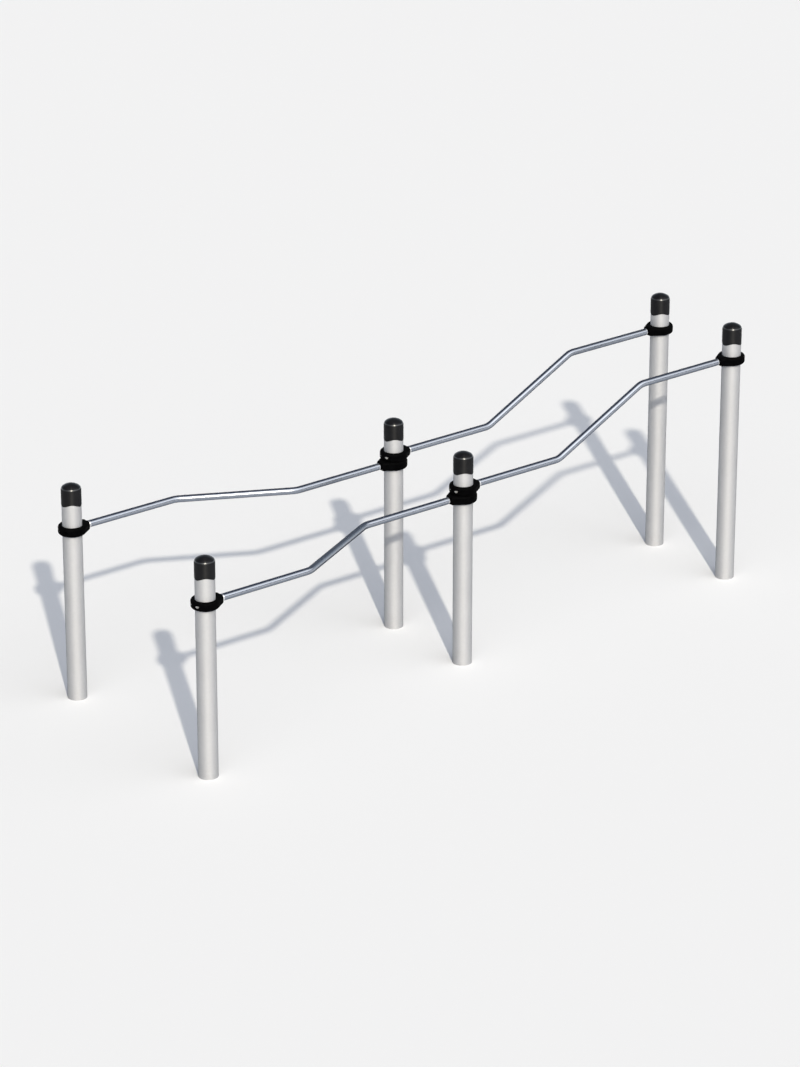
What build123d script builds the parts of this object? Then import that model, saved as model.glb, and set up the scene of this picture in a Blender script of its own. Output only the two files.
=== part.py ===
from build123d import *
import math
import os

# Parallel bars for outdoor training.
# Two handrails run side by side along X between three pairs of posts. They start wide apart, so that
# a user can enter, narrow to a walking lane at the middle posts, and then climb to a higher level.
# Millimetres, +Z up, the ground at Z zero, the origin between the middle posts, the tall end at +X.

# Plan of the posts
post_pitch = 1600
entry_spacing = 1016
lane_spacing = 512

# Post tube
post_diameter = 88.9
post_wall = 3.2

# Handrail tube, bent once the same way for all four rails
rail_diameter = 32
rail_wall = 3
low_rail_height = 820
joggle_length = 490
rail_bend_radius = 80

# Cap on the post's open end
cap_top_above_high_rail = 174
cap_height = 95.2
cap_overlap = 28
cap_gap = 0.15
cap_sleeve_wall = 1.0
cap_wall = 4
cap_crown_rise = 18.4
cap_edge_radius = 20.5
cap_lobes = 3
cap_wave_height = 12.4
cap_wave_steps = 8
cap_plug_depth = 34
cap_plug_wall = 2.5
cap_plug_gap = 1.2
cap_rib_count = 6
cap_rib_width = 3
cap_rib_gap = 0.1

# Cast collar that clamps to the post and carries a rail's end on its nose
collar_height = 42
collar_radius = 63.5
collar_nose_reach = 82
collar_nose_width = 43.2
collar_nose_corner = 13
collar_edge_round = 12
collar_gap = 0.15
collar_bore_chamfer = 3.5
collar_split = 4
seat_margin = 1
seat_depth = 6

# Pinch bolt across the collar's split, M8, with its nut
pinch_axis_offset = 54.5
pinch_bolt_diameter = 8
pinch_hole_diameter = 9
pinch_head_diameter = 13
pinch_head_height = 8
pinch_socket_width = 6
pinch_socket_depth = 4
pinch_pocket_diameter = 15
pinch_grip = 28
pinch_nut_width = 13
pinch_nut_height = 6.5
pinch_nut_clearance = 0.2
pinch_bolt_tail = 2

# Bolt that draws the rail's end plug on to the collar's nose, M12, with its washer
rail_bolt_diameter = 12
rail_hole_diameter = 13.5
rail_bolt_length = 40
rail_head_diameter = 18
rail_head_height = 12
rail_socket_width = 10
rail_socket_depth = 6
washer_diameter = 20
washer_thickness = 2
washer_hole_diameter = 13
rail_pocket_diameter = 21
rail_pocket_floor = 61

# Plug welded into each end of a rail
plug_shoulder = 10
plug_spigot_length = 20
plug_gap = 0.15
plug_edge_round = 7
plug_lead_in = 1.5
plug_thread_depth = 21

# Threads are plain bores this much wider than their bolt, all round
thread_gap = 0.05

# Nuts and sockets have six sides
hex_sides = 6

# Cuts run this far past the faces that they open
overrun = 5

# Derived sizes
post_radius = post_diameter / 2
post_bore_radius = post_radius - post_wall
rail_radius = rail_diameter / 2
rail_bore_radius = rail_radius - rail_wall
rail_offset = (entry_spacing - lane_spacing) / 2
rail_straight = (post_pitch - joggle_length) / 2
middle_rail_height = low_rail_height + collar_height
high_rail_height = middle_rail_height + rail_offset
low_post_top = middle_rail_height + cap_top_above_high_rail
high_post_top = high_rail_height + cap_top_above_high_rail
cap_radius = post_radius + cap_gap + cap_sleeve_wall
entry_y = entry_spacing / 2
lane_y = lane_spacing / 2

# Places of the posts: name, X, Y and the height of the finished top
posts = [
    ("entry_near", -post_pitch, -entry_y, low_post_top),
    ("entry_far", -post_pitch, entry_y, low_post_top),
    ("middle_near", 0, -lane_y, low_post_top),
    ("middle_far", 0, lane_y, low_post_top),
    ("high_near", post_pitch, -lane_y, high_post_top),
    ("high_far", post_pitch, lane_y, high_post_top),
]

# Places of the collars: name, X, Y, height of the rail's axis, turn about Z, turn about X.
# The entry collar on the far side is the same casting turned over.
half_turn = 180
collars = [
    ("entry_near", -post_pitch, -entry_y, low_rail_height, 0, 0),
    ("entry_far", -post_pitch, entry_y, low_rail_height, 0, half_turn),
    ("middle_near_lower", 0, -lane_y, low_rail_height, half_turn, 0),
    ("middle_far_lower", 0, lane_y, low_rail_height, half_turn, 0),
    ("middle_near_upper", 0, -lane_y, middle_rail_height, 0, 0),
    ("middle_far_upper", 0, lane_y, middle_rail_height, 0, 0),
    ("high_near", post_pitch, -lane_y, high_rail_height, half_turn, 0),
    ("high_far", post_pitch, lane_y, high_rail_height, half_turn, 0),
]
collar_places = [
    Location((x, y, z), (turn_x, 0, turn_z)) for _, x, y, z, turn_z, turn_x in collars
]

# Places of the rails: name, X and Y and Z of the first post at the rail's height, and the level that it
# keeps or reaches at its second post
rails = [
    ("narrowing_near", -post_pitch, -entry_y, low_rail_height, -lane_y, low_rail_height),
    ("narrowing_far", -post_pitch, entry_y, low_rail_height, lane_y, low_rail_height),
    ("climbing_near", 0, -lane_y, middle_rail_height, -lane_y, high_rail_height),
    ("climbing_far", 0, lane_y, middle_rail_height, lane_y, high_rail_height),
]

os.makedirs("parts", exist_ok=True)


def write_part(part, name):
    """Label a finished piece and write it under the same name."""
    part.label = name
    export_step(part, f"parts/{name}.step")


# Posts: plain round tube, open at both ends, cut off square at the ground
for name, x, y, top in posts:
    tube_length = top - cap_height + cap_overlap
    with BuildPart() as post:
        with BuildSketch() as post_section:
            with Locations((x, y)):
                Circle(post_radius)
                Circle(post_bore_radius, mode=Mode.SUBTRACT)
        extrude(amount=tube_length)
    write_part(post.part, f"post_{name}")


# Cap, with Z zero at its rim's middle height.
# Its thin sleeve slides down outside the tube, its plug slides down inside, and the tube's end
# stops against the solid ring between them.
socket_radius = post_radius + cap_gap
plug_radius = post_bore_radius - cap_plug_gap
rib_radius = post_bore_radius - cap_rib_gap
plug_bore_radius = plug_radius - cap_plug_wall
wave_rise = cap_wave_height / 2
lobe_half_angle = half_turn / cap_lobes

with BuildPart() as cap_form:
    # Sleeve down to the rim's lowest points
    with BuildSketch(Plane.XZ) as sleeve_section:
        with Locations(((socket_radius + cap_radius) / 2, (cap_overlap - wave_rise) / 2)):
            Rectangle(cap_sleeve_wall, cap_overlap + wave_rise)
    revolve(axis=Axis.Z)

    # Wave along the rim: three lobes, cut radially, each from one low point to the next
    for lobe in range(cap_lobes):
        lobe_turn = 2 * lobe_half_angle * lobe
        lobe_plane = Plane(
            origin=(0, 0, 0),
            x_dir=Vector(0, 1, 0).rotate(Axis.Z, lobe_turn),
            z_dir=Vector(1, 0, 0).rotate(Axis.Z, lobe_turn),
        )
        wave_points = []
        for step in range(cap_wave_steps + 1):
            angle = math.radians(lobe_half_angle) * (2 * step / cap_wave_steps - 1)
            wave_points.append(
                (cap_radius * math.sin(angle), wave_rise * math.cos(cap_lobes * angle))
            )
        wave_start, wave_end = wave_points[0], wave_points[-1]
        wave_floor = -wave_rise - overrun
        with BuildSketch(lobe_plane) as wave_section:
            with BuildLine():
                Spline(*wave_points, tangents=((1, 0), (1, 0)))
                Polyline(
                    wave_end,
                    (wave_end[0], wave_floor),
                    (wave_start[0], wave_floor),
                    wave_start,
                )
            make_face()
        extrude(amount=cap_radius + overrun, mode=Mode.SUBTRACT)

    # Domed body above the tube's end, hollow under the dome, with the plug below it
    wall_top = cap_height - cap_crown_rise
    with BuildSketch(Plane.XZ) as body_section:
        with BuildLine():
            crown = TangentArc((0, cap_height), (cap_radius, wall_top), tangent=(1, 0))
            Polyline(
                (cap_radius, wall_top),
                (cap_radius, cap_overlap),
                (plug_radius, cap_overlap),
                (plug_radius, cap_overlap - cap_plug_depth),
                (0, cap_overlap - cap_plug_depth),
                (0, cap_height),
            )
        make_face()
        fillet(
            body_section.vertices().sort_by_distance((cap_radius, wall_top))[0],
            cap_edge_radius,
        )
    revolve(axis=Axis.Z)
    with BuildSketch(Plane.XZ) as hollow_section:
        hollow_top = cap_height - cap_wall
        with BuildLine():
            TangentArc((0, hollow_top), (plug_bore_radius, wall_top), tangent=(1, 0))
            Polyline(
                (plug_bore_radius, wall_top),
                (plug_bore_radius, cap_overlap - cap_plug_depth - overrun),
                (0, cap_overlap - cap_plug_depth - overrun),
                (0, hollow_top),
            )
        make_face()
    revolve(axis=Axis.Z, mode=Mode.SUBTRACT)

    # Ribs on the plug, which crush a little against the tube's bore and hold the cap
    with BuildSketch(Plane.XY.offset(cap_overlap - cap_plug_depth)) as rib_section:
        with PolarLocations((rib_radius + plug_bore_radius) / 2, cap_rib_count):
            Rectangle(rib_radius - plug_bore_radius, cap_rib_width)
    extrude(amount=cap_plug_depth)

for name, x, y, top in posts:
    with BuildPart() as cap:
        with Locations((x, y, top - cap_height)):
            add(cap_form.part)
    write_part(cap.part, f"cap_{name}")


# Collar, with its bore's axis on Z, the rail's axis at Z zero and its nose towards +X.
# One casting: a round body that tapers to a nose, split opposite the nose.
nose_half_width = collar_nose_width / 2
seat_radius = rail_radius + seat_margin
bore_radius = post_radius + collar_gap
head_seat = pinch_grip / 2

with BuildPart() as collar_form:
    with BuildSketch(Plane.XY.offset(-collar_height / 2)) as collar_plan:
        Circle(collar_radius)
        with Locations((collar_nose_reach - nose_half_width / 2, 0)):
            Rectangle(nose_half_width, collar_nose_width)
        make_hull()
        nose_corners = collar_plan.vertices().group_by(Axis.X)[-1]
        fillet(nose_corners, collar_nose_corner)
    extrude(amount=collar_height)
    fillet(collar_form.faces().filter_by(Axis.Z).edges(), collar_edge_round)

    # Round seat for the rail's end, flush with the nose's flat
    with BuildSketch(Plane.YZ.offset(collar_nose_reach - seat_depth)) as seat_section:
        Circle(seat_radius)
    extrude(amount=seat_depth)

    # Bore for the post, eased at both ends
    Hole(bore_radius)
    chamfer(collar_form.edges(Select.LAST).filter_by(GeomType.CIRCLE), collar_bore_chamfer)

    # Split opposite the nose
    with BuildSketch(Plane.XY.offset(-collar_height / 2)) as split_section:
        with Locations((-collar_radius / 2, 0)):
            Rectangle(collar_radius + overrun, collar_split)
    extrude(amount=collar_height, mode=Mode.SUBTRACT)

    # Pinch bolt's hole across the split, with the head's round pocket on the -Y side
    head_side = Plane(origin=(-pinch_axis_offset, -collar_radius, 0), z_dir=(0, -1, 0))
    with Locations(head_side):
        CounterBoreHole(
            pinch_hole_diameter / 2,
            pinch_pocket_diameter / 2,
            collar_radius - head_seat,
            collar_radius + head_seat + overrun,
        )

    # Six-sided pocket for the nut on the +Y side
    with BuildSketch(Plane.XZ.offset(-head_seat)) as nut_pocket_section:
        with Locations((-pinch_axis_offset, 0)):
            RegularPolygon(
                pinch_nut_width / 2 + pinch_nut_clearance, hex_sides, major_radius=False
            )
    extrude(amount=-collar_radius, mode=Mode.SUBTRACT)

    # Rail bolt's hole through the nose, with its pocket sunk from the bore
    with BuildSketch(Plane.YZ) as rail_pocket_section:
        Circle(rail_pocket_diameter / 2)
    extrude(amount=rail_pocket_floor, mode=Mode.SUBTRACT)
    with BuildSketch(Plane.YZ) as rail_hole_section:
        Circle(rail_hole_diameter / 2)
    extrude(amount=collar_nose_reach + overrun, mode=Mode.SUBTRACT)

for (name, *_), place in zip(collars, collar_places):
    with BuildPart() as collar:
        with Locations(place):
            add(collar_form.part)
    write_part(collar.part, f"collar_{name}")


# Rails: one tube bent twice, the same for all four. It lies flat where the lane narrows and stands on
# edge where the lane climbs.
rail_end_gap = collar_nose_reach + plug_shoulder
for name, x, y, z, end_y, end_z in rails:
    with BuildPart() as rail:
        with BuildLine() as rail_path:
            FilletPolyline(
                (x + rail_end_gap, y, z),
                (x + rail_straight, y, z),
                (x + rail_straight + joggle_length, end_y, end_z),
                (x + post_pitch - rail_end_gap, end_y, end_z),
                radius=rail_bend_radius,
            )
        with BuildSketch(Plane(origin=(x + rail_end_gap, y, z), z_dir=(1, 0, 0))) as rail_section:
            Circle(rail_radius)
            Circle(rail_bore_radius, mode=Mode.SUBTRACT)
        sweep(path=rail_path.line)
    write_part(rail.part, f"rail_{name}")


# Plug welded into each end of a rail, with its contact face at the collar's seat.
# Its shoulder is the tube's full diameter, well rounded towards the seat, and its tapped hole takes the
# rail bolt.
with BuildPart() as plug_form:
    with BuildSketch(Plane.YZ.offset(collar_nose_reach)) as shoulder_section:
        Circle(rail_radius)
    extrude(amount=plug_shoulder)
    fillet(plug_form.faces().sort_by(Axis.X)[0].edges(), plug_edge_round)
    with BuildSketch(Plane.YZ.offset(collar_nose_reach + plug_shoulder)) as spigot_section:
        Circle(rail_bore_radius - plug_gap)
    extrude(amount=plug_spigot_length)
    chamfer(plug_form.faces().sort_by(Axis.X)[-1].edges(), plug_lead_in)
    with BuildSketch(Plane.YZ.offset(collar_nose_reach)) as thread_section:
        Circle(rail_bolt_diameter / 2 + thread_gap)
    extrude(amount=plug_thread_depth, mode=Mode.SUBTRACT)

for (name, *_), place in zip(collars, collar_places):
    with BuildPart() as plug:
        with Locations(place):
            add(plug_form.part)
    write_part(plug.part, f"end_plug_{name}")


# Rail bolt and washer, sunk in the nose's pocket
head_plane = Plane.YZ.offset(rail_pocket_floor - washer_thickness)
with BuildPart() as rail_bolt_form:
    with BuildSketch(head_plane) as rail_head_section:
        Circle(rail_head_diameter / 2)
    extrude(amount=-rail_head_height)
    with BuildSketch(head_plane) as rail_shank_section:
        Circle(rail_bolt_diameter / 2)
    extrude(amount=rail_bolt_length)
    with BuildSketch(head_plane.offset(-rail_head_height)) as rail_socket_section:
        RegularPolygon(rail_socket_width / 2, hex_sides, major_radius=False)
    extrude(amount=rail_socket_depth, mode=Mode.SUBTRACT)

with BuildPart() as washer_form:
    with BuildSketch(head_plane) as washer_section:
        Circle(washer_diameter / 2)
        Circle(washer_hole_diameter / 2, mode=Mode.SUBTRACT)
    extrude(amount=washer_thickness)


# Pinch bolt and nut, across the split
with BuildPart() as pinch_bolt_form:
    with BuildSketch(Plane.XZ.offset(head_seat)) as pinch_head_section:
        with Locations((-pinch_axis_offset, 0)):
            Circle(pinch_head_diameter / 2)
    extrude(amount=pinch_head_height)
    with BuildSketch(Plane.XZ.offset(head_seat)) as pinch_shank_section:
        with Locations((-pinch_axis_offset, 0)):
            Circle(pinch_bolt_diameter / 2)
    extrude(amount=-(pinch_grip + pinch_nut_height + pinch_bolt_tail))
    with BuildSketch(Plane.XZ.offset(head_seat + pinch_head_height)) as pinch_socket_section:
        with Locations((-pinch_axis_offset, 0)):
            RegularPolygon(pinch_socket_width / 2, hex_sides, major_radius=False)
    extrude(amount=-pinch_socket_depth, mode=Mode.SUBTRACT)

with BuildPart() as pinch_nut_form:
    with BuildSketch(Plane.XZ.offset(-head_seat)) as nut_section:
        with Locations((-pinch_axis_offset, 0)):
            RegularPolygon(pinch_nut_width / 2, hex_sides, major_radius=False)
            Circle(pinch_bolt_diameter / 2 + thread_gap, mode=Mode.SUBTRACT)
    extrude(amount=-pinch_nut_height)

fasteners = [
    ("rail_bolts", rail_bolt_form),
    ("rail_washers", washer_form),
    ("pinch_bolts", pinch_bolt_form),
    ("pinch_nuts", pinch_nut_form),
]
for name, form in fasteners:
    with BuildPart() as fastener_set:
        with Locations(*collar_places):
            add(form.part)
    write_part(fastener_set.part, name)
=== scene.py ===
import math

import bpy
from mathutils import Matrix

# Parallel bars: the finish of every piece, the light, the floor and the camera. Metres and degrees.

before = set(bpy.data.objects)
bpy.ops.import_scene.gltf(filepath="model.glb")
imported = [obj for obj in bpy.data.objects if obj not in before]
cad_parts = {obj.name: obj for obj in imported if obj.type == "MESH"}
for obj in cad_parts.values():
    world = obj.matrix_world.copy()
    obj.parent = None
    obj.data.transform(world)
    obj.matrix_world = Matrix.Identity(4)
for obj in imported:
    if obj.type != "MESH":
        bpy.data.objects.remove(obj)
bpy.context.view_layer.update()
bpy.context.scene.view_settings.view_transform = "Standard"

# Camera: where the photograph was taken from, solved from the posts and rails
CAMERA_PLACE = (-11.319, -14.441, 8.357)
CAMERA_DOWN = 23.047
CAMERA_TURN = -37.692
CAMERA_LENS = 196.47
SENSOR_WIDTH = 36.0
CAMERA_REACH = 200.0
RIGHT_ANGLE = 90.0

# Lamp: a low sun behind the camera's right shoulder
SUN_ELEVATION = 33.93
SUN_AZIMUTH = 242.8
SUN_SPREAD = 1.4
SUN_STRENGTH = 2.745
SUN_COLOUR = (1.0, 0.9385, 0.806)

# Dome: towards GLOW_AZIMUTH it is bright high up and dark low down; beyond, it is dark with a pale low rim
GLOW_AZIMUTH = 266.0
GLOW_START = -0.11
GLOW_FULL = 0.71
GLOW_RISE = 0.66
GLOW_LOW = (0.038, 0.061, 0.136)
GLOW_HIGH = (1.658, 1.717, 1.788)
RIM_COLOUR = (0.798, 0.915, 1.018)
RIM_FADE = 2.3
DEEP_COLOUR = (0.028, 0.035, 0.070)

# Floor: the colour that shows, also in gloss, and the duller one of the light that it throws back up
FLOOR_COLOUR = (0.878, 0.877, 0.890)
FLOOR_BOUNCE = (0.30, 0.30, 0.30)
FLOOR_HALF = 60.0

# Noise and its usual ranges: a share of zero up to the low value, and of one from the high value on
PLAIN_DETAIL = 2.0
FINE_DETAIL = 4.0
SOFT_LOW = 0.3
SOFT_HIGH = 0.7
STREAK_LOW = 0.55
STREAK_HIGH = 0.75
SPECK_LOW = 0.45
SPECK_HIGH = 0.75
SMUDGE_LOW = 0.5
SMUDGE_HIGH = 0.7

# Dust lies by how far the skin faces up, which is one on top, zero on a wall and below zero underneath
DUST_FROM = 0.2
DUST_TO = 0.9

# Shared by several materials: bare metal, which goes dark where it is seen along its skin, the turn that
# lays its drawn lines upright, and straight up
BARE_METAL = 1.0
METAL_EDGE = (0.0, 0.0, 0.0)
QUARTER_TURN = 0.25
UPWARD = (0.0, 0.0, 1.0)

# Posts
POST_DARK = (0.63, 0.628, 0.64)
POST_LIGHT = (0.672, 0.67, 0.682)
POST_CLOUD = 0.16
POST_GRAIN = 0.012
POST_ZINC = 0.009
POST_ZINC_SHARE = 0.10
POST_ZINC_TONE = (0.52, 0.54, 0.56)
POST_STREAK = 0.02
POST_STREAK_STRETCH = (1.0, 1.0, 0.05)
POST_STREAK_SHARE = 0.10
POST_STREAK_TONE = (0.50, 0.50, 0.49)
POST_DUST_HEIGHT = 0.10
POST_DUST_SHARE = 0.12
POST_DUST_TONE = (0.42, 0.40, 0.37)
POST_ROUGH_LOW = 0.78
POST_ROUGH_HIGH = 0.82
POST_ROUGH_GRAIN = 0.04
POST_PEEL = 0.0024
POST_PEEL_DEPTH = 0.00002
POST_METAL = 0.8
POST_DRAWN = 0.5

# Caps: the crown and its polished shoulder begin and end by how far the skin faces up
CAP_DARK = (0.005, 0.005, 0.006)
CAP_LIGHT = (0.009, 0.009, 0.010)
CAP_CLOUD = 0.03
CAP_GRAIN = 0.0009
CAP_GRAIN_DEPTH = 0.00003
CAP_SPECK = 0.004
CAP_DUST_SHARE = 0.04
CAP_DUST_TONE = (0.16, 0.15, 0.14)
CAP_ROUGH_LOW = 0.64
CAP_ROUGH_HIGH = 0.70
CAP_GLOSS = 0.29
CAP_DRAWN = 0.88
CROWN_FROM = 0.15
CROWN_TO = 0.42
CROWN_ROUGH = 0.28
POLISH_FROM = 0.28
POLISH_FULL = 0.46
POLISH_FADE = 0.50
POLISH_GONE = 0.60
POLISH_ROUGH = 0.32
POLISH_IOR = 1.7

# Collars
COLLAR_DARK = (0.0010, 0.0010, 0.0012)
COLLAR_LIGHT = (0.0022, 0.0022, 0.0025)
COLLAR_CLOUD = 0.02
COLLAR_SAND = 0.0012
COLLAR_SAND_DEPTH = 0.00012
COLLAR_HOLLOW = 0.009
COLLAR_HOLLOW_DEPTH = 0.0003
COLLAR_SPECK = 0.003
COLLAR_DUST_SHARE = 0.04
COLLAR_DUST_TONE = (0.10, 0.095, 0.09)
COLLAR_ROUGH_LOW = 0.50
COLLAR_ROUGH_HIGH = 0.70
COLLAR_GLOSS = 0.01

# All bare steel: its fine lines, clouds and smudges
STEEL_LINE = 0.0008
STEEL_LINE_DEPTH = 0.000003
STEEL_CLOUD = 0.09
STEEL_CLOUD_SHARE = 0.08
STEEL_CLOUD_TONE = (0.42, 0.43, 0.45)
STEEL_SMUDGE = 0.035
STEEL_SMUDGE_ROUGH = 0.05

# Rails: drawn along X, with painted shade on the underside: a darker colour in place of a dark reflection
# from beneath. It begins and is full by how far the skin faces up, and its edge wanders in patches, by the
# amount and the patch size set below
RAIL_DARK = (0.497, 0.517, 0.561)
RAIL_LIGHT = (0.546, 0.57, 0.614)
RAIL_STRETCH = (0.02, 1.0, 1.0)
RAIL_ROUGH_LOW = 0.22
RAIL_ROUGH_HIGH = 0.26
# painted shade: the underside's colour, darker than the steel above, stands in for a dark reflection
RAIL_PAINTED_SHADE = (0.27, 0.30, 0.355)
PAINTED_SHADE_FROM = 0.18
PAINTED_SHADE_FULL = -0.05
PAINTED_SHADE_PATCH = 0.05
PAINTED_SHADE_WANDER = 0.12

# End plugs, and the bolts, washers and nuts: turned, so their lines run round X
TURNED_STRETCH = (1.0, 0.05, 0.05)
PLUG_DARK = (0.70, 0.71, 0.73)
PLUG_LIGHT = (0.78, 0.79, 0.81)
PLUG_ROUGH_LOW = 0.34
PLUG_ROUGH_HIGH = 0.40
BOLT_DARK = (0.46, 0.46, 0.46)
BOLT_LIGHT = (0.53, 0.53, 0.53)
BOLT_ROUGH_LOW = 0.30
BOLT_ROUGH_HIGH = 0.40
BOLT_METAL = 0.4

# The far entry collar's fasteners, painted over with it: the only ones before this X and beyond this Y
PAINTED_BEFORE = -1.4
PAINTED_BEYOND = 0.3


def opaque(colour):
    """A colour of three shares with its fourth, which is always one."""
    return (*colour, 1.0)


class Graph:
    """A node tree that is being built, with one method for each kind of node it uses."""

    def __init__(self, tree):
        self.tree = tree
        tree.nodes.clear()

    def node(self, kind, **settings):
        """A new node of that kind, with its settings."""
        made = self.tree.nodes.new(kind)
        for key, value in settings.items():
            setattr(made, key, value)
        return made

    def plug(self, socket, value):
        """Links a socket to an output, or sets it to a plain value."""
        if isinstance(value, bpy.types.NodeSocket):
            self.tree.links.new(value, socket)
        elif socket.type == "RGBA":
            socket.default_value = opaque(value)
        else:
            socket.default_value = value

    def maths(self, operation, a, b):
        """The result of that operation on two numbers, each an output or a plain value."""
        made = self.node("ShaderNodeMath", operation=operation)
        self.plug(made.inputs[0], a)
        self.plug(made.inputs[1], b)
        return made.outputs[0]

    def place(self, stretch=(1.0, 1.0, 1.0)):
        """The object's own coordinates in metres, stretched along each axis."""
        coordinates = self.node("ShaderNodeTexCoord")
        mapping = self.node("ShaderNodeMapping")
        self.plug(mapping.inputs["Vector"], coordinates.outputs["Object"])
        self.plug(mapping.inputs["Scale"], stretch)
        return mapping.outputs[0]

    def noise(self, vector, size, detail=PLAIN_DETAIL):
        """Soft spots of about that size in metres."""
        made = self.node("ShaderNodeTexNoise")
        self.plug(made.inputs["Vector"], vector)
        self.plug(made.inputs["Scale"], 1 / size)
        self.plug(made.inputs["Detail"], detail)
        return made.outputs["Fac"]

    def cells(self, vector, size):
        """Cells of about that size in metres, each with a tone of its own."""
        made = self.node("ShaderNodeTexVoronoi")
        self.plug(made.inputs["Vector"], vector)
        self.plug(made.inputs["Scale"], 1 / size)
        return made.outputs["Color"]

    def spread(self, value, low=0.0, high=1.0, to_low=0.0, to_high=1.0, smooth=False):
        """A value from low to high becomes one from to_low to to_high."""
        made = self.node("ShaderNodeMapRange")
        if smooth:
            made.interpolation_type = "SMOOTHSTEP"
        for socket, item in zip(made.inputs, (value, low, high, to_low, to_high)):
            self.plug(socket, item)
        return made.outputs[0]

    def share(self, value, low=SOFT_LOW, high=SOFT_HIGH):
        """How far a value has come from low to high, from zero to one."""
        return self.spread(value, low, high)

    def between(self, share, low, high):
        """The number that lies that share of the way from low to high."""
        return self.spread(share, to_low=low, to_high=high)

    def blend(self, share, a, b):
        """Colour a turns into colour b as the share goes from zero to one."""
        made = self.node("ShaderNodeMix", data_type="RGBA")
        first, second = (socket for socket in made.inputs if socket.type == "RGBA")
        self.plug(made.inputs["Factor"], share)
        self.plug(first, a)
        self.plug(second, b)
        return next(socket for socket in made.outputs if socket.type == "RGBA")

    def tint(self, colour, share, strength, tone):
        """The colour with some of a tone over it: the strength, where the share is one."""
        return self.blend(self.maths("MULTIPLY", share, strength), colour, tone)

    def part(self, vector, axis):
        """One of the three numbers of a vector."""
        made = self.node("ShaderNodeSeparateXYZ")
        self.plug(made.inputs[0], vector)
        return made.outputs[axis]

    def skin(self):
        """The way the skin faces."""
        return self.node("ShaderNodeNewGeometry").outputs["Normal"]

    def facing_up(self):
        """How far the skin faces up."""
        return self.part(self.skin(), "Z")

    def around(self):
        """The level direction along the skin, which runs round anything upright."""
        made = self.node("ShaderNodeVectorMath", operation="CROSS_PRODUCT")
        self.plug(made.inputs[0], self.skin())
        self.plug(made.inputs[1], UPWARD)
        return made.outputs["Vector"]

    def dusty(self, colour, size, strength, tone):
        """The colour with specks of dust of about that size, where the skin faces up."""
        specks = self.share(self.noise(self.place(), size), SPECK_LOW, SPECK_HIGH)
        up = self.share(self.facing_up(), DUST_FROM, DUST_TO)
        return self.tint(colour, self.maths("MULTIPLY", up, specks), strength, tone)

    def relief(self, height, distance, over=None):
        """Bumps that many metres deep, over another relief where one is given."""
        made = self.node("ShaderNodeBump")
        self.plug(made.inputs["Height"], height)
        self.plug(made.inputs["Distance"], distance)
        if over is not None:
            self.plug(made.inputs["Normal"], over)
        return made.outputs[0]


def surface(name):
    """A new material, and the graph that paints it."""
    material = bpy.data.materials.new(name)
    material.use_nodes = True
    return material, Graph(material.node_tree)


def shade(graph, colour, roughness, normal, constants, tangent=None):
    """The shader and its output. What is the same all over is set on the shader's own sockets."""
    output = graph.node("ShaderNodeOutputMaterial")
    shader = graph.node("ShaderNodeBsdfPrincipled")
    graph.plug(shader.inputs["Base Color"], colour)
    graph.plug(shader.inputs["Roughness"], roughness)
    graph.plug(shader.inputs["Normal"], normal)
    if tangent is not None:
        graph.plug(shader.inputs["Tangent"], tangent)
    for socket, value in constants.items():
        shader.inputs[socket].default_value = value
    graph.plug(output.inputs["Surface"], shader.outputs[0])
    return shader


def post_coating():
    """Satin galvanised posts: clouds, faint cells of zinc, streaks, and dust at the foot."""
    material, g = surface("post_coating")
    here = g.place()
    cloud = g.share(g.noise(here, POST_CLOUD))
    grain = g.noise(here, POST_GRAIN, detail=FINE_DETAIL)
    zinc = g.part(g.cells(here, POST_ZINC), "X")
    streak = g.share(g.noise(g.place(POST_STREAK_STRETCH), POST_STREAK), STREAK_LOW, STREAK_HIGH)
    colour = g.blend(cloud, POST_DARK, POST_LIGHT)
    colour = g.tint(colour, zinc, POST_ZINC_SHARE, POST_ZINC_TONE)
    colour = g.tint(colour, streak, POST_STREAK_SHARE, POST_STREAK_TONE)
    foot = g.spread(g.part(here, "Z"), 0.0, POST_DUST_HEIGHT, POST_DUST_SHARE, 0.0)
    colour = g.tint(colour, g.share(grain), foot, POST_DUST_TONE)
    rough = g.between(cloud, POST_ROUGH_LOW, POST_ROUGH_HIGH)
    rough = g.maths("ADD", rough, g.between(grain, -POST_ROUGH_GRAIN, POST_ROUGH_GRAIN))
    peel = g.relief(g.noise(here, POST_PEEL), POST_PEEL_DEPTH)
    constants = {
        "Metallic": POST_METAL,
        "Anisotropic": POST_DRAWN,
        "Anisotropic Rotation": QUARTER_TURN,
        "Specular Tint": opaque(METAL_EDGE),
    }
    shade(g, colour, rough, peel, constants, g.around())
    return material


def cap_plastic():
    """Black moulded plastic with a fine grain, a polished shoulder, and a little dust on top."""
    material, g = surface("cap_plastic")
    here = g.place()
    facing = g.facing_up()
    cloud = g.share(g.noise(here, CAP_CLOUD))
    colour = g.blend(cloud, CAP_DARK, CAP_LIGHT)
    colour = g.dusty(colour, CAP_SPECK, CAP_DUST_SHARE, CAP_DUST_TONE)
    crown = g.share(facing, CROWN_FROM, CROWN_TO)
    rough = g.between(crown, g.between(cloud, CAP_ROUGH_LOW, CAP_ROUGH_HIGH), CROWN_ROUGH)
    grain = g.relief(g.noise(here, CAP_GRAIN, detail=FINE_DETAIL), CAP_GRAIN_DEPTH)
    polish = g.share(facing, POLISH_FROM, POLISH_FULL)
    polish = g.maths("MULTIPLY", polish, g.share(facing, POLISH_GONE, POLISH_FADE))
    constants = {
        "Specular IOR Level": CAP_GLOSS,
        "Anisotropic": CAP_DRAWN,
        "Anisotropic Rotation": QUARTER_TURN,
        "Coat Roughness": POLISH_ROUGH,
        "Coat IOR": POLISH_IOR,
    }
    shader = shade(g, colour, rough, grain, constants, g.around())
    g.plug(shader.inputs["Coat Weight"], polish)
    return material


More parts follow.
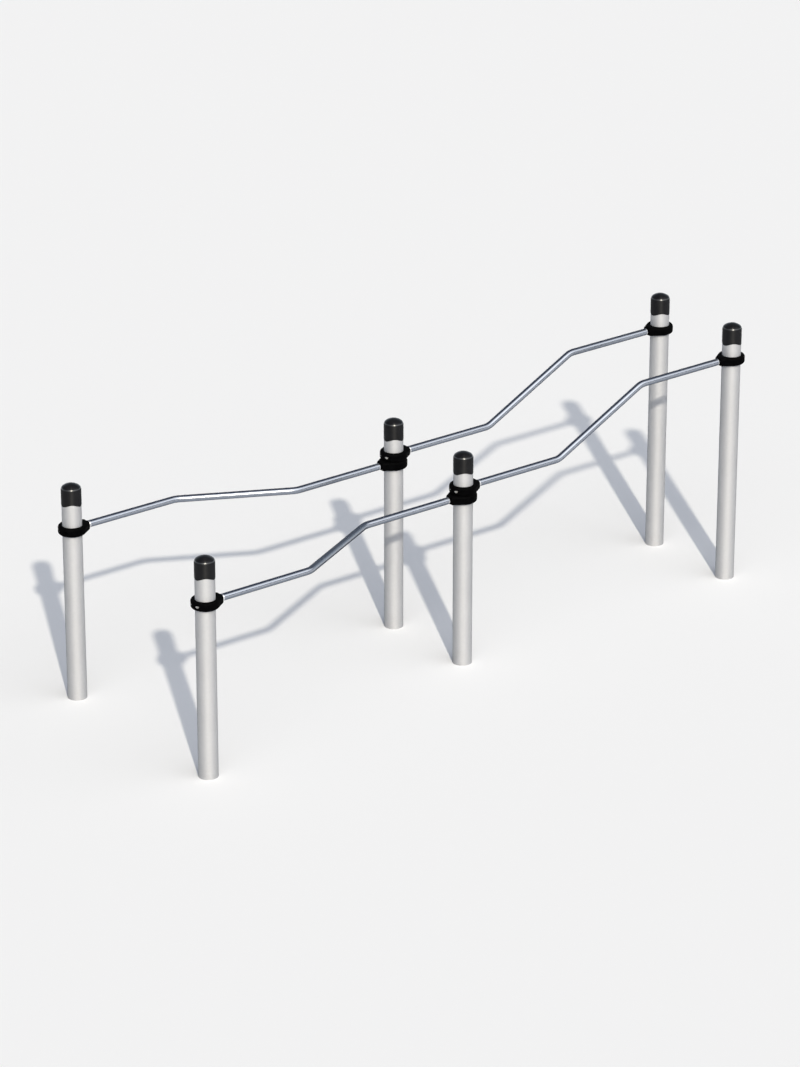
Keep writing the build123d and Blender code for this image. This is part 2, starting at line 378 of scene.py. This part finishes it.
def collar_coating():
    """Sand cast iron under black paint: the sand's grain shows through, with soft hollows."""
    material, g = surface("collar_coating")
    here = g.place()
    sand = g.noise(here, COLLAR_SAND, detail=FINE_DETAIL)
    colour = g.blend(g.share(g.noise(here, COLLAR_CLOUD)), COLLAR_DARK, COLLAR_LIGHT)
    colour = g.dusty(colour, COLLAR_SPECK, COLLAR_DUST_SHARE, COLLAR_DUST_TONE)
    rough = g.between(sand, COLLAR_ROUGH_LOW, COLLAR_ROUGH_HIGH)
    hollows = g.relief(g.noise(here, COLLAR_HOLLOW), COLLAR_HOLLOW_DEPTH)
    casting = g.relief(sand, COLLAR_SAND_DEPTH, over=hollows)
    shade(g, colour, rough, casting, {"Specular IOR Level": COLLAR_GLOSS})
    return material


def steel(name, stretch, dark, light, rough_low, rough_high, below=None):
    """Bare steel with fine lines along the direction that the stretch draws out, and smudges.

    The colour below, where there is one, is painted shade on the underside: a darker colour in place of a
    dark reflection from beneath.
    """
    material, g = surface(name)
    here = g.place()
    lines = g.noise(g.place(stretch), STEEL_LINE, detail=FINE_DETAIL)
    cloud = g.share(g.noise(here, STEEL_CLOUD))
    smudge = g.share(g.noise(here, STEEL_SMUDGE, detail=FINE_DETAIL), SMUDGE_LOW, SMUDGE_HIGH)
    colour = g.blend(g.share(lines), dark, light)
    colour = g.tint(colour, cloud, STEEL_CLOUD_SHARE, STEEL_CLOUD_TONE)
    # painted shade: the underside is darkened where the skin faces down, in place of a dark reflection
    if below is not None:
        wander = g.between(g.noise(here, PAINTED_SHADE_PATCH), -PAINTED_SHADE_WANDER, PAINTED_SHADE_WANDER)
        under = g.share(g.maths("ADD", g.facing_up(), wander), PAINTED_SHADE_FROM, PAINTED_SHADE_FULL)
        colour = g.blend(under, colour, below)
    rough = g.between(g.share(lines), rough_low, rough_high)
    rough = g.maths("ADD", rough, g.maths("MULTIPLY", smudge, STEEL_SMUDGE_ROUGH))
    brushing = g.relief(lines, STEEL_LINE_DEPTH)
    constants = {"Metallic": BARE_METAL, "Specular Tint": opaque(METAL_EDGE)}
    shade(g, colour, rough, brushing, constants)
    return material


def bolt_steel():
    """Zinc plated fasteners, bright and a little chalky; the far entry ones are painted over."""
    material, g = surface("bolt_steel")
    here = g.place()
    lines = g.noise(g.place(TURNED_STRETCH), STEEL_LINE, detail=FINE_DETAIL)
    before = g.maths("LESS_THAN", g.part(here, "X"), PAINTED_BEFORE)
    beyond = g.maths("GREATER_THAN", g.part(here, "Y"), PAINTED_BEYOND)
    painted = g.maths("MULTIPLY", before, beyond)
    colour = g.blend(painted, g.blend(g.share(lines), BOLT_DARK, BOLT_LIGHT), COLLAR_LIGHT)
    rough = g.between(g.share(lines), BOLT_ROUGH_LOW, BOLT_ROUGH_HIGH)
    rough = g.between(painted, rough, COLLAR_ROUGH_HIGH)
    brushing = g.relief(lines, STEEL_LINE_DEPTH)
    shader = shade(g, colour, rough, brushing, {"Specular IOR Level": COLLAR_GLOSS})
    g.plug(shader.inputs["Metallic"], g.between(painted, BOLT_METAL, 0.0))
    return material


def dress(prefix, material):
    """Gives a material to every node whose name starts so."""
    for name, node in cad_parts.items():
        if name.startswith(prefix):
            node.data.materials.clear()
            node.data.materials.append(material)


def aim(down, turn):
    """The rotation of a camera or lamp that looks so far below level, turned about the upright axis."""
    return (math.radians(RIGHT_ANGLE - down), 0, math.radians(turn))


def level_way(azimuth):
    """The level unit vector that points that way."""
    turn = math.radians(azimuth)
    return (math.cos(turn), math.sin(turn), 0.0)


def make_camera():
    """The camera at the photograph's place, angle and field of view."""
    lens = bpy.data.cameras.new("camera")
    lens.sensor_fit = "HORIZONTAL"
    lens.sensor_width = SENSOR_WIDTH
    lens.lens = CAMERA_LENS
    lens.clip_end = CAMERA_REACH
    camera = bpy.data.objects.new("camera", lens)
    camera.location = CAMERA_PLACE
    camera.rotation_euler = aim(CAMERA_DOWN, CAMERA_TURN)
    bpy.context.scene.collection.objects.link(camera)
    bpy.context.scene.camera = camera


def make_sun():
    """The lamp, which gives the long shadows on the floor."""
    light = bpy.data.lights.new("sun", "SUN")
    light.energy = SUN_STRENGTH
    light.color = SUN_COLOUR
    light.angle = math.radians(SUN_SPREAD)
    sun = bpy.data.objects.new("sun", light)
    sun.rotation_euler = aim(SUN_ELEVATION, SUN_AZIMUTH + RIGHT_ANGLE)
    bpy.context.scene.collection.objects.link(sun)


def make_dome():
    """A soft dome: a broad glow high up on the lamp's side, and a pale rim low on the other side."""
    world = bpy.data.worlds.new("dome")
    bpy.context.scene.world = world
    world.use_nodes = True
    g = Graph(world.node_tree)
    output = g.node("ShaderNodeOutputWorld")
    back = g.node("ShaderNodeBackground")
    way = g.node("ShaderNodeTexCoord").outputs["Generated"]
    rise = g.part(way, "Z")
    toward = g.node("ShaderNodeVectorMath", operation="DOT_PRODUCT")
    g.plug(toward.inputs[0], way)
    g.plug(toward.inputs[1], level_way(GLOW_AZIMUTH))
    side = g.spread(toward.outputs["Value"], GLOW_START, GLOW_FULL, smooth=True)
    glow = g.blend(g.spread(rise, 0.0, GLOW_RISE, smooth=True), GLOW_LOW, GLOW_HIGH)
    rim = g.maths("POWER", g.maths("SUBTRACT", 1.0, rise), RIM_FADE)
    beyond = g.blend(rim, DEEP_COLOUR, RIM_COLOUR)
    g.plug(back.inputs["Color"], g.blend(side, beyond, glow))
    g.plug(output.inputs["Surface"], back.outputs[0])


def make_floor():
    """A plain pale floor, which throws little light back up on to the posts."""
    mesh = bpy.data.meshes.new("floor")
    corners = [(-1, -1), (1, -1), (1, 1), (-1, 1)]
    mesh.from_pydata([(x * FLOOR_HALF, y * FLOOR_HALF, 0) for x, y in corners], [], [(0, 1, 2, 3)])
    floor = bpy.data.objects.new("floor", mesh)
    bpy.context.scene.collection.objects.link(floor)
    material, g = surface("floor")
    output = g.node("ShaderNodeOutputMaterial")
    shader = g.node("ShaderNodeBsdfDiffuse")
    seen = g.node("ShaderNodeLightPath").outputs
    shown = g.maths("MAXIMUM", seen["Is Camera Ray"], seen["Is Glossy Ray"])
    shown = g.maths("MAXIMUM", shown, seen["Is Transmission Ray"])
    g.plug(shader.inputs["Color"], g.blend(shown, FLOOR_BOUNCE, FLOOR_COLOUR))
    g.plug(output.inputs["Surface"], shader.outputs[0])
    mesh.materials.append(material)


make_camera()
make_sun()
make_dome()
make_floor()

rail_steel = steel(
    "rail_steel", RAIL_STRETCH, RAIL_DARK, RAIL_LIGHT, RAIL_ROUGH_LOW, RAIL_ROUGH_HIGH, RAIL_PAINTED_SHADE
)
plug_steel = steel("plug_steel", TURNED_STRETCH, PLUG_DARK, PLUG_LIGHT, PLUG_ROUGH_LOW, PLUG_ROUGH_HIGH)
bright_bolts = bolt_steel()
dress("post_", post_coating())
dress("cap_", cap_plastic())
dress("collar_", collar_coating())
dress("rail_narrowing", rail_steel)
dress("rail_climbing", rail_steel)
dress("end_plug_", plug_steel)
dress("rail_bolts", bright_bolts)
dress("rail_washers", bright_bolts)
dress("pinch_", bright_bolts)
